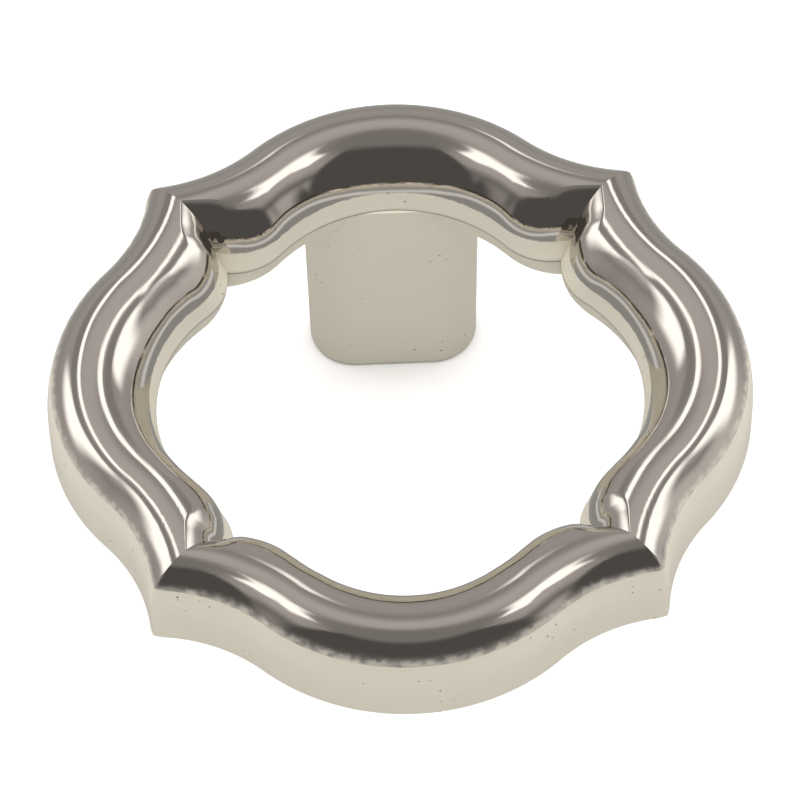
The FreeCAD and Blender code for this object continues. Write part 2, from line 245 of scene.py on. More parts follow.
@dataclass
class Surface:
    """A triangle surface with its finish attributes, in millimetres in the ring's own frame.

    Args:
        points: x, y, z rows.
        triangles: rows of three point numbers.
        satin: how unpolished each point is.
        seam: how dark each point is.
        rim: how worn each point is.
        grain: x, y and distance over the section of each point.
    """

    points: np.ndarray
    triangles: np.ndarray
    satin: np.ndarray
    seam: np.ndarray
    rim: np.ndarray
    grain: np.ndarray

    @classmethod
    def from_rows(cls, rows: list[Row], closed_rows: bool, closed_columns: bool) -> "Surface":
        """Join rows of points into two triangles per grid cell.

        Args:
            rows: rows with the same number of columns.
            closed_rows: join the last row to the first.
            closed_columns: join the last column to the first.

        Returns:
            The surface, before any merging.
        """
        count, columns = len(rows), len(rows[0].plan)
        points = np.stack([np.column_stack([row.plan, row.height]) for row in rows]).reshape(-1, 3)

        def per_row(values: list[float]) -> np.ndarray:
            """Each row's value for all its points."""
            return np.repeat(np.array(values, dtype=float), columns)

        grain = np.column_stack([points[:, :2], per_row([row.across for row in rows])])
        index = np.arange(count * columns).reshape(count, columns)
        if closed_rows:
            index = np.vstack([index, index[:1]])
        if closed_columns:
            index = np.hstack([index, index[:, :1]])
        a, b, c, d = index[:-1, :-1], index[:-1, 1:], index[1:, 1:], index[1:, :-1]
        triangles = np.concatenate([np.stack(corners, -1).reshape(-1, 3) for corners in ((a, b, c), (a, c, d))])
        return cls(
            points,
            triangles,
            per_row([row.satin for row in rows]),
            per_row([row.seam for row in rows]),
            per_row([row.rim for row in rows]),
            grain,
        )

    def placed(self, turn: np.ndarray) -> "Surface":
        """Copy turned or mirrored in plan, with its triangles kept facing the same way.

        Args:
            turn: 2 x 2 matrix.

        Returns:
            The copy.
        """
        points = self.points.copy()
        points[:, :2] = points[:, :2] @ turn.T
        grain = self.grain.copy()
        grain[:, :2] = points[:, :2]
        flip = np.linalg.det(turn) < 0
        triangles = self.triangles[:, ::-1] if flip else self.triangles
        return Surface(points, triangles, self.satin, self.seam, self.rim, grain)

    @staticmethod
    def joined(parts: list["Surface"]) -> "Surface":
        """Several surfaces as one, unmerged.

        Args:
            parts: the surfaces.

        Returns:
            One surface with the parts' points in order.
        """
        starts = np.cumsum([0] + [len(part.points) for part in parts[:-1]])
        return Surface(
            np.concatenate([part.points for part in parts]),
            np.concatenate([part.triangles + start for part, start in zip(parts, starts)]),
            np.concatenate([part.satin for part in parts]),
            np.concatenate([part.seam for part in parts]),
            np.concatenate([part.rim for part in parts]),
            np.concatenate([part.grain for part in parts]),
        )

    def merged(self) -> "Surface":
        """Copy with points in the same place joined and empty triangles dropped.

        Returns:
            The copy, with its triangles turned to face outwards, so that they enclose a positive volume.
        """
        places = np.round(self.points, 4)
        _, first, inverse = np.unique(places, axis=0, return_index=True, return_inverse=True)
        triangles = inverse.reshape(-1)[self.triangles]
        a, b, c = triangles.T
        triangles = triangles[(a != b) & (b != c) & (a != c)]
        points = self.points[first]
        corners = points[triangles]
        volume = np.einsum("ij,ij->i", corners[:, 0], np.cross(corners[:, 1], corners[:, 2])).sum()
        if volume < 0:
            triangles = triangles[:, ::-1]
        marks = (values[first] for values in (self.satin, self.seam, self.rim, self.grain))
        return Surface(points, triangles, *marks)


@dataclass
class RingPull:
    """The handle: its sizes, its surfaces and the piece that they make.

    Args:
        edge: outline of the crown's outer edge.
        lip: outline of the opening where the roll ends.
        seam: outline of the opening at the parting line.
        sole: outline of the opening just over the underside.
        sole_edge: outline of the opening in the underside.
        crown: section of the crown.
        columns: division along the ring.
        wall_height: crown's edge to the underside.
        wall_swell: how far the outer wall stands out from the crown's edge.
        swell_drop: how far below the edge the wall reaches that.
        base_break: rounding of the wall's lower edge.
        tip_blunt: half width over which a mitre tip is drawn back.
        tip_draw: share of that width by which it is drawn back.
        lip_turn: radius that the roll's path keeps inside the lip's corner.
        lip_run: distance from the lip at which the crown's last arcs start.
        lip_drop: crown's edge to the lip.
        steepest: tilt that those arcs end at, at most.
        seam_drop: crown's edge to the parting line.
        sole_break: rounding of the opening's lower edge.
        post_reach: ring centre to the post's axis.
        post_width: of the post at the parting line.
        post_depth: of the post at the parting line.
        post_draft: taper of the post.
        post_columns: columns round each rounded end of the post.
        foot_drop: crown's edge to the foot.
        foot_break: rounding of the foot's edge.
        screw_radius: of the bore.
        screw_depth: of the bore.
        screw_break: chamfer of the bore's mouth.
        drill_point: half the angle of the bore's end.
        piece: the object, once it is built.
    """

    name: str = "ring_pull_nickel"
    edge: Ogee = Ogee(27.65, 19.7, 16.7, 14.2)
    lip: Ogee = Ogee(20.0, 14.6, 12.15, 5.0)
    seam: Ogee = Ogee(19.5, 13.6, 12.2, 5.0)
    sole: Ogee = Ogee(20.08, 13.7, 12.5, 6.5)
    sole_edge: Ogee = Ogee(20.48, 14.1, 12.9, 6.1)
    crown: Crown = Crown()
    columns: Columns = Columns()
    wall_height: float = 6.05
    wall_swell: float = 0.495
    swell_drop: float = 3.0
    base_break: float = 0.25
    tip_blunt: float = 0.8
    tip_draw: float = 0.25
    lip_turn: float = 1.0
    lip_run: float = 2.45
    lip_drop: float = 2.06
    steepest: float = math.radians(86)
    seam_drop: float = 3.85
    sole_break: float = 0.4
    post_reach: float = 23.4
    post_width: float = 14.8
    post_depth: float = 8.3
    post_draft: float = math.radians(0.7)
    post_columns: int = 40
    foot_drop: float = 25.1
    foot_break: float = 0.25
    screw_radius: float = 1.65
    screw_depth: float = 14.0
    screw_break: float = 0.2
    drill_point: float = math.radians(59)
    piece: bpy.types.Object | None = field(default=None, repr=False)

    def roll_plan(self, out: float | np.ndarray) -> np.ndarray:
        """Columns of the lip moved out into the metal, wrapped round the lip's corner and cut by x = y.

        Args:
            out: distance from the lip, one for all columns or one for each.

        Returns:
            Array of x, y rows. On the arcs it is the lip's offset. In the fan it is an arc about a centre just
            past the corner, until it runs along x, then a straight run on to the mitre plane.
        """
        out = np.broadcast_to(out, self.columns.where.shape)
        turn, start, end = self.lip.turn, self.lip.turn - math.pi, self.lip.end()
        where, spread = self.columns.where, self.columns.spread
        first = math.pi / 2 + (turn - math.pi / 2) * np.clip(where, 0, 1)
        second = start + (end - start) * np.clip(where - 1, 0, 1)
        to_lobe = np.stack([np.cos(first), np.sin(first)], -1)
        to_ogee = np.stack([np.cos(second), np.sin(second)], -1)
        on_lobe = self.lip.lobe + (self.lip.convex + out)[:, None] * to_lobe
        on_ogee = self.lip.ogee + (self.lip.concave - out)[:, None] * to_ogee
        plan = np.where((where <= 1)[:, None], on_lobe, on_ogee)
        normal = -np.array([math.cos(end), math.sin(end)])
        centre = self.lip.corner - normal * self.lip_turn
        radius = self.lip_turn + out
        aside = centre[0] - centre[1]
        crossing = math.pi / 4 + np.arcsin(np.minimum(aside / (math.sqrt(2) * radius), 1.0))
        begin = math.atan2(normal[1], normal[0])
        curved = radius * (begin - np.maximum(np.minimum(crossing, begin), math.pi / 2))
        straight = np.maximum(radius - aside, 0.0)
        travel = (curved + straight) * spread
        angle = begin - np.minimum(travel, curved) / radius
        wrapped = centre + radius[:, None] * np.stack([np.cos(angle), np.sin(angle)], -1)
        wrapped[:, 0] += np.maximum(travel - curved, 0.0)
        return np.where((spread > 0)[:, None], wrapped, plan)

    def rim_plan(self, grow: float) -> np.ndarray:
        """Columns of the outer edge grown outwards, with the mitre tip blunted.

        Each column starts at the edge's nearest point to the line where the last arcs start, and the fan's columns
        share out what is left up to the mitre. Near the mitre plane the outline is drawn back along the diagonal
        by the square of what is missing to the blunting's half width, so that both halves meet without a point.

        Args:
            grow: distance outwards.

        Returns:
            Array of x, y rows.
        """
        foot = self.edge.foot(self.roll_plan(self.lip_run))
        opened = self.columns.spread
        start = foot[self.columns.convex + self.columns.concave - 1]
        foot = np.where(opened > 0, start + (2 - start) * opened, foot)
        plan = self.edge.at(foot, grow)
        aside = (plan[:, 1] - plan[:, 0]) / math.sqrt(2)
        missing = np.clip(self.tip_blunt - aside, 0, None)
        return plan - (self.tip_draw * missing**2 / self.tip_blunt / math.sqrt(2))[:, None]

    def crown_rows(self) -> list[Row]:
        """Rows from the crown's outer edge to the lip.

        The first rows run straight in plan from the outer edge to a line that keeps its distance from the lip,
        at the height of the crown's arcs over the distance from the edge. From there each column is one circular
        arc in section through the lip: it starts at the crown's own tilt, its chord runs to the lip, and it ends
        at twice the chord's tilt less that of the start. Where that is steeper than the steepest, it starts
        steeper instead. The rows lie closer together towards the lip.

        Returns:
            The rows, each with its finish.
        """
        outer, inner = self.rim_plan(0.0), self.roll_plan(self.lip_run)
        blunted = self.edge.inside(outer)
        rows = []
        for share in np.concatenate([[0.0, 0.012, 0.03], np.linspace(0.06, 1.0, 24)]):
            plan = outer + (inner - outer) * share
            height = self.crown.height(self.edge.inside(plan) - blunted * (1 - share) ** 4)
            rim = float(np.exp(-((share / 0.07) ** 2)))
            rows.append(Row(plan, height * (share > 0), 0.0, 0.0, rim, share * 4.6))
        top = self.crown.height(self.edge.inside(inner))
        step = 0.05
        before = self.crown.height(self.edge.inside(self.roll_plan(self.lip_run + step)))
        chord = np.arctan2(top + self.lip_drop, self.lip_run)
        start = np.maximum(np.arctan2(before - top, step), 2 * chord - self.steepest)
        stop = 2 * chord - start
        radius = np.hypot(top + self.lip_drop, self.lip_run) / (2 * np.sin((stop - start) / 2))
        for share in np.linspace(0, 1, 37)[1:]:
            out = self.lip_run * (1 - share) ** 1.8
            sine = np.clip(np.sin(start) + (self.lip_run - out) / radius, 0, 1)
            height = top - radius * (np.cos(start) - np.sqrt(1 - sine**2))
            at_lip = float(share == 1)
            rows.append(Row(self.roll_plan(out), height, 0.15 * at_lip, 0.0, 0.75 * at_lip, 4.6 + 3.4 * share))
        return rows

    def opening_rows(self) -> list[Row]:
        """Rows down the opening: from the lip in to the seam, on to the sole and out over its rounding.

        Returns:
            The rows: straight between the outlines, then a quarter circle.
        """
        where = self.columns.where
        lip, seam, sole, edge = (o.at(where) for o in (self.lip, self.seam, self.sole, self.sole_edge))
        level = np.ones(len(where))
        rows = []
        for share, satin, line in (
            (0.03, 0.4, 0.0), (0.08, 0.75, 0.0), (0.25, 1.0, 0.0), (0.55, 1.0, 0.0), (0.85, 1.0, 0.0),
            (0.95, 1.0, 0.2), (1.0, 1.0, 1.0),
        ):
            height = -self.lip_drop - (self.seam_drop - self.lip_drop) * share
            rows.append(Row(lip + (seam - lip) * share, height * level, satin, line, 0.0, 9.0 + 1.8 * share))
        sole_height = self.sole_break - self.wall_height
        for share, line in ((0.05, 0.2), (0.1, 0.0), (0.4, 0.0), (0.75, 0.0), (0.97, 0.0)):
            height = -self.seam_drop + (sole_height + self.seam_drop) * share
            rows.append(Row(seam + (sole - seam) * share, height * level, 1.0, line, 0.0, 11.0 + 1.9 * share))
        for angle in np.linspace(0, math.pi / 2, 6)[1:]:
            share = 1 - math.cos(angle)
            height = sole_height - self.sole_break * math.sin(angle)
            rows.append(Row(sole + (edge - sole) * share, height * level, 0.8, 0.0, 0.3, 13.0 + 0.4 * share))
        return rows

    def wall_rows(self) -> list[Row]:
        """Rows across the underside, round the lower edge and up the outer wall.

        The wall stands out from the edge by the swell times one minus the square of what is left of the drop to
        its widest line, and stays there below that line.

        Returns:
            The rows, up to just under the crown's edge.
        """
        level = np.ones(len(self.columns.where))
        flat = self.wall_swell - self.base_break
        inner = self.sole_edge.at(self.columns.where)
        outer = self.rim_plan(flat)
        rows = []
        for share in (0.04, 0.3, 0.6, 0.96, 1.0):
            plan = inner + (outer - inner) * share
            rows.append(Row(plan, -self.wall_height * level, 0.7, 0.0, 0.0, 14 + 8 * share))
        for angle in np.linspace(0, math.pi / 2, 7)[1:]:
            plan = self.rim_plan(flat + self.base_break * math.sin(angle))
            height = -self.wall_height + self.base_break * (1 - math.cos(angle))
            rows.append(Row(plan, height * level, 0.8, 0.0, 0.25, 22 + angle))
        bottom = self.base_break - self.wall_height
        for share in (0.06, 0.25, 0.5, 0.6, 0.68, 0.76, 0.84, 0.91, 0.96, 0.99):
            height = bottom * (1 - share)
            left = max(1 + height / self.swell_drop, 0.0)
            plan = self.rim_plan(self.wall_swell * (1 - left**2))
            rows.append(Row(plan, height * level, 0.8, 0.0, 0.0, 23.6 + 5 * share))
        return rows

    def ring_surface(self) -> Surface:
        """The whole ring: half a lobe, its mirror image, and both turned to the four lobes.

        Returns:
            A closed surface.
        """
        half = Surface.from_rows(self.crown_rows() + self.opening_rows() + self.wall_rows(), True, False)
        turns = []
        for quarter in range(4):
            c, s = math.cos(quarter * math.pi / 2), math.sin(quarter * math.pi / 2)
            turn = np.array([[c, -s], [s, c]])
            turns += [turn, turn @ np.diag([-1.0, 1.0])]
        return Surface.joined([half.placed(turn) for turn in turns]).merged()

    def post_surface(self) -> Surface:
        """The post: an obround carried down from the seam to the bored foot.

        Each column has a base point on the obround's core line and a direction out of it, so a row is the base
        plus the direction times the half depth at that height.

        Returns:
            A closed surface.
        """
        run = (self.post_width - self.post_depth) / 2
        n = self.post_columns
        arc = np.linspace(-math.pi / 2, math.pi / 2, n, endpoint=False)
        line = np.linspace(run, -run, n // 2, endpoint=False)
        side = np.full(n // 2, math.pi / 2)
        angle = np.concatenate([arc, side, arc + math.pi, -side])
        core_x = np.concatenate([np.full(n, run), line, np.full(n, -run), -line])
        out = np.stack([np.cos(angle), np.sin(angle)], -1)
        core = np.stack([core_x, np.full(len(angle), self.post_reach)], -1)
        level = np.ones(len(angle))
        middle = np.broadcast_to([0.0, self.post_reach], core.shape)

        def half(height: float) -> float:
            """Half depth of the post at a height."""
            return self.post_depth / 2 - (-self.seam_drop - height) * math.tan(self.post_draft)

        rows = [Row(middle, (-self.seam_drop - 0.02) * level, 1.0, 0.0, 0.0, 0.0)]

        def ring(height: float, grow: float) -> None:
            """Add a row round the post at a height, grown outwards."""
            plan = core + out * (half(height) + grow)
            rows.append(Row(plan, height * level, 0.9, 0.0, 0.0, -height))

        top, foot = -self.seam_drop, -self.foot_drop
        ring(top - 0.02, -0.12)
        ring(top - 0.05, -0.03)
        ring(top - 0.15, 0.0)
        for share in (0.08, 0.2, 0.35, 0.5, 0.65, 0.8, 0.92):
            ring(top + (foot - top) * share, 0.0)
        for turn in np.linspace(0, math.pi / 2, 5):
            ring(foot + self.foot_break * (1 - math.sin(turn)), -self.foot_break * (1 - math.cos(turn)))
        rim = rows[-1].plan
        spoke = (rim - middle) / np.linalg.norm(rim - middle, axis=-1, keepdims=True)
        bore_top = foot + self.screw_depth
        for radius, height in (
            (self.screw_radius + self.screw_break, foot),
            (self.screw_radius, foot + self.screw_break),
            (self.screw_radius, bore_top),
            (0.0, bore_top + self.screw_radius / math.tan(self.drill_point)),
        ):
            rows.append(Row(middle + spoke * radius, height * level, 1.0, 0.0, 0.0, 30.0))
        return Surface.from_rows(rows, False, True).merged()

    def build(self) -> bpy.types.Object:
        """Make the piece in the row frame, with attributes, smooth faces and sharp mitres.

        Returns:
            The piece, riding on the root body and standing for the CAD node.
        """
        ring, post = self.ring_surface(), self.post_surface()
        whole = Surface.joined([ring, post])
        points = (whole.points + np.array([0.0, -self.post_reach, self.foot_drop])) * MM
        mesh = bpy.data.meshes.new(self.name)
        mesh.from_pydata(points, [], whole.triangles)
        mesh.update()
        for mark, values in (
            (Mark.SATIN, whole.satin),
            (Mark.SEAM, whole.seam),
            (Mark.RIM, whole.rim),
        ):
            made = mesh.attributes.new(mark.value, "FLOAT", "POINT")
            made.data.foreach_set("value", values.astype(np.float32))
        grain = mesh.attributes.new(Mark.GRAIN.value, "FLOAT_VECTOR", "POINT")
        grain.data.foreach_set("vector", whole.grain.astype(np.float32).ravel())
        mesh.polygons.foreach_set("use_smooth", np.ones(len(mesh.polygons), dtype=bool))
        self.mark_sharp(mesh, whole.points, len(ring.points))
        self.piece = bpy.data.objects.new(self.name, mesh)
        bpy.context.scene.collection.objects.link(self.piece)
        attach(self.piece, "root")
        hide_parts("ring_pull")
        LOG.info("%s: %d triangles", self.name, len(mesh.polygons))
        return self.piece

    def mark_sharp(self, mesh: bpy.types.Mesh, points: np.ndarray, ring_count: int) -> None:
        """Mark as sharp each edge of the ring that lies in a mitre plane, but for those at the blunted tips.

        Args:
            mesh: the piece's mesh.
            points: its points in the ring's own frame.
            ring_count: how many of them belong to the ring.
        """
        ends = np.empty(len(mesh.edges) * 2, dtype=np.int32)
        mesh.edges.foreach_get("vertices", ends)
        ends = ends.reshape(-1, 2)
        on_mitre = np.abs(np.abs(points[:, 0]) - np.abs(points[:, 1])) < 2e-3
        on_mitre &= np.hypot(points[:, 0], points[:, 1]) < self.edge.corner * math.sqrt(2) - 1.0
        on_mitre[ring_count:] = False
        sharp = on_mitre[ends].all(axis=1)
        mesh.attributes.new("sharp_edge", "BOOLEAN", "EDGE").data.foreach_set("value", sharp)

    def dress(self, finish: "Nickel") -> None:
        """Give the piece its finish."""
        self.piece.data.materials.append(finish.material())


class Wiring:
    """Adds nodes to one tree with short calls.

    Args:
        tree: the node tree to build in.
    """

    def __init__(self, tree: bpy.types.NodeTree) -> None:
        self.tree = tree

    def node(self, kind: str, inputs: dict | None = None, **settings: object) -> bpy.types.Node:
        """Add a node, set its properties, and fill its inputs with values or links.

        Args:
            kind: the node's type.
            inputs: values or output sockets by input name or number.
            settings: the node's own properties.

        Returns:
            The node.
        """
        made = self.tree.nodes.new(kind)
        for key, value in settings.items():
            setattr(made, key, value)
        for key, value in (inputs or {}).items():
            if isinstance(value, bpy.types.NodeSocket):
                self.tree.links.new(value, made.inputs[key])
            else:
                made.inputs[key].default_value = value
        return made

    def math(self, operation: str, *values: object) -> bpy.types.NodeSocket:
        """Add a math node and return its value."""
        return self.node("ShaderNodeMath", dict(enumerate(values)), operation=operation).outputs[0]

    def ramp(
        self, value: bpy.types.NodeSocket, low: float, high: float, start: float = 0.0, stop: float = 1.0
    ) -> bpy.types.NodeSocket:
        """Smooth step of a value from one range to another.

        Args:
            value: the value.
            low: value at which the step starts.
            high: value at which it ends, which may be the lower of the two.
            start: result at low.
            stop: result at high.

        Returns:
            The result.
        """
        span = {0: value, 1: low, 2: high, 3: start, 4: stop}
        return self.node("ShaderNodeMapRange", span, interpolation_type="SMOOTHSTEP").outputs[0]

    def both(self, *masks: bpy.types.NodeSocket) -> bpy.types.NodeSocket:
        """Product of several masks.

        Args:
            masks: the masks.

        Returns:
            The product.
        """
        product = masks[0]
        for mask in masks[1:]:
            product = self.math("MULTIPLY", product, mask)
        return product

    def shades(
        self, value: bpy.types.NodeSocket, stops: tuple[tuple[float, float], ...]
    ) -> bpy.types.NodeSocket:
        """Grey shade that a curve gives for a value.

        Args:
            value: the value from 0 to 1.
            stops: places on the curve and their shades.

        Returns:
            The shade.
        """
        made = self.node("ShaderNodeFloatCurve", {1: value})
        points = made.mapping.curves[0].points
        for place, shade in stops[1:-1]:
            points.new(place, shade)
        points[0].location, points[-1].location = stops[0], stops[-1]
        made.mapping.update()
        return made.outputs[0]

    def blend(self, factor: object, first: object, second: object) -> bpy.types.NodeSocket:
        """Mix of two values."""
        return self.node("ShaderNodeMix", {0: factor, 2: first, 3: second}, data_type="FLOAT").outputs[0]

    def mix(self, factor: object, first: object, second: object) -> bpy.types.NodeSocket:
        """Mix of two colours."""
        return self.node("ShaderNodeMix", {0: factor, 6: first, 7: second}, data_type="RGBA").outputs[2]


def new_group(name: str, inputs: dict[str, float], outputs: list[str]) -> bpy.types.NodeTree:
    """An empty shader node group with a position and named value sockets.

    Args:
        name: the group's name.
        inputs: names and usual values of its value inputs.
        outputs: names of its outputs.

    Returns:
        The group's tree.
    """
    tree = bpy.data.node_groups.new(name, "ShaderNodeTree")
    tree.interface.new_socket("Position", in_out="INPUT", socket_type="NodeSocketVector")
    for key, value in inputs.items():
        tree.interface.new_socket(key, in_out="INPUT", socket_type="NodeSocketFloat").default_value = value
    for key in outputs:
        tree.interface.new_socket(key, in_out="OUTPUT", socket_type="NodeSocketFloat")
    return tree


def buffing_group() -> bpy.types.NodeTree:
    """Buffing marks: noise drawn out along the ring.

    Returns:
        The group's tree, which gives a height and a share of haze.
    """
    tree = new_group("buffing", {"Along": 0.12, "Across": 9.0}, ["Height", "Haze"])
    w = Wiring(tree)
    source = w.node("NodeGroupInput").outputs
    place = w.node("ShaderNodeSeparateXYZ", {0: source["Position"]}).outputs
    stretched = w.node(
        "ShaderNodeCombineXYZ",
        {
            0: w.math("MULTIPLY", place[0], source["Along"]),
            1: w.math("MULTIPLY", place[1], source["Along"]),
            2: w.math("MULTIPLY", place[2], source["Across"]),
        },
    ).outputs[0]
    lines = w.node("ShaderNodeTexNoise", {"Vector": stretched, "Scale": 1.0, "Detail": 4.0}).outputs[0]
    wide = {"Vector": source["Position"], "Scale": 0.35, "Detail": 2.0}
    cloud = w.node("ShaderNodeTexNoise", wide).outputs[0]
    sink = w.node("NodeGroupOutput")
    tree.links.new(lines, sink.inputs["Height"])
    tree.links.new(w.both(w.ramp(lines, 0.35, 0.75), w.ramp(cloud, 0.35, 0.7)), sink.inputs["Haze"])
    return tree


def cast_skin_group() -> bpy.types.NodeTree:
    """As-cast skin under the plating: fine grain and a few pits.

    Returns:
        The group's tree, which gives a height and a mask of the pits.
    """
    tree = new_group("cast skin", {"Grain": 5.0, "Pits": 1.1}, ["Height", "Pit"])
    w = Wiring(tree)
    source = w.node("NodeGroupInput").outputs
    grain = w.node(
        "ShaderNodeTexNoise", {"Vector": source["Position"], "Scale": source["Grain"], "Detail": 5.0}
    ).outputs[0]
    cells = w.node(
        "ShaderNodeTexVoronoi", {"Vector": source["Position"], "Scale": source["Pits"], "Randomness": 1.0}
    ).outputs[0]
    wide = {"Vector": source["Position"], "Scale": 0.22, "Detail": 1.0}
    sparse = w.node("ShaderNodeTexNoise", wide).outputs[0]
    pit = w.both(w.ramp(cells, 0.16, 0.05), w.ramp(sparse, 0.52, 0.62))
    sink = w.node("NodeGroupOutput")
    tree.links.new(w.math("SUBTRACT", grain, w.math("MULTIPLY", pit, 2.0)), sink.inputs["Height"])
    tree.links.new(pit, sink.inputs["Pit"])
    return tree


@dataclass(frozen=True)
class Nickel:
    """Warm nickel plate: mirror-buffed on the crown, satin where the casting was not polished.

    Args:
        polished: colour of the buffed plate.
        satin: colour of the unpolished plate.
        seam: colour of the dark line along the parting line and in the pits.
        mirror: roughness of the buffed plate.
        matt: roughness of the unpolished plate.
        bare: how metallic the unpolished plate looks.
    """

    polished: tuple[float, float, float, float] = (0.64, 0.60, 0.545, 1.0)
    satin: tuple[float, float, float, float] = (0.67, 0.627, 0.522, 1.0)
    seam: tuple[float, float, float, float] = (0.10, 0.085, 0.07, 1.0)
    mirror: float = 0.06
    matt: float = 0.42
    bare: float = 0.3

    def material(self) -> bpy.types.Material:
        """The finish as a material that reads object coordinates and the piece's attributes.

        Returns:
            The material.
        """
        made = bpy.data.materials.new("polished_nickel")
        made.use_nodes = True
        tree = made.node_tree
        tree.nodes.clear()
        w = Wiring(tree)
        place = w.node("ShaderNodeTexCoord").outputs["Object"]
        to_mm = {0: place, 1: (1 / MM, 1 / MM, 1 / MM)}
        scaled = w.node("ShaderNodeVectorMath", to_mm, operation="MULTIPLY").outputs[0]
        grain = w.node("ShaderNodeAttribute", attribute_name=Mark.GRAIN.value).outputs["Vector"]
        satin = w.node("ShaderNodeAttribute", attribute_name=Mark.SATIN.value).outputs["Fac"]
        seam = w.node("ShaderNodeAttribute", attribute_name=Mark.SEAM.value).outputs["Fac"]
        rim = w.node("ShaderNodeAttribute", attribute_name=Mark.RIM.value).outputs["Fac"]
        buffing = w.node("ShaderNodeGroup", node_tree=buffing_group())
        buffing.inputs["Along"].default_value, buffing.inputs["Across"].default_value = 0.12, 9.0
        tree.links.new(grain, buffing.inputs["Position"])
        skin = w.node("ShaderNodeGroup", node_tree=cast_skin_group())
        skin.inputs["Grain"].default_value, skin.inputs["Pits"].default_value = 5.0, 1.1
        tree.links.new(scaled, skin.inputs["Position"])
        ragged = w.node("ShaderNodeTexNoise", {"Vector": scaled, "Scale": 1.6, "Detail": 3.0}).outputs[0]
        rough_edge = w.math("ADD", satin, w.math("MULTIPLY", w.math("SUBTRACT", ragged, 0.5), 0.7))
        worn = w.math("MULTIPLY", rim, w.ramp(ragged, 0.3, 0.7, 0.35, 0.75))
        unpolished = w.math("MAXIMUM", w.ramp(rough_edge, 0.3, 0.6), worn)
        dark = w.math("MAXIMUM", seam, w.math("MULTIPLY", skin.outputs["Pit"], unpolished))
        colour = w.mix(unpolished, self.polished, self.satin)
        colour = w.mix(w.math("MULTIPLY", dark, 0.85), colour, self.seam)
        haze = w.math("MULTIPLY", buffing.outputs["Haze"], 0.05)
        smooth = w.math("ADD", w.math("ADD", haze, self.mirror), w.math("MULTIPLY", rim, 0.22))
        rough = w.blend(unpolished, smooth, self.matt)
        metal = w.ramp(unpolished, 0.0, 1.0, 1.0, self.bare)
        marks = w.math("MULTIPLY", buffing.outputs["Height"], 0.3)
        height = w.blend(unpolished, marks, skin.outputs["Height"])
        bump = w.node("ShaderNodeBump", {"Strength": 0.12, "Distance": 0.00006, "Height": height}).outputs[0]
        shader = w.node(
            "ShaderNodeBsdfPrincipled",
            {"Base Color": colour, "Roughness": rough, "Normal": bump, "Metallic": metal},
        )
        tree.links.new(shader.outputs[0], w.node("ShaderNodeOutputMaterial").inputs[0])
        return made


class Angle(Enum):
    """Angles by which a direction is sorted into the surroundings, in degrees."""

    AZIMUTH = "from the back, plus to the right"
    ASIDE = "from the back, to either side"
    HEIGHT = "above the horizon"
    SLANT = "height less the angle aside"


class Edge(NamedTuple):
    """Soft edge of an area of the surroundings.

    Args:
        angle: the angle that it lies across.
        outside: where the area has faded out.
        inside: where it is full.
    """

    angle: Angle
    outside: float
    inside: float


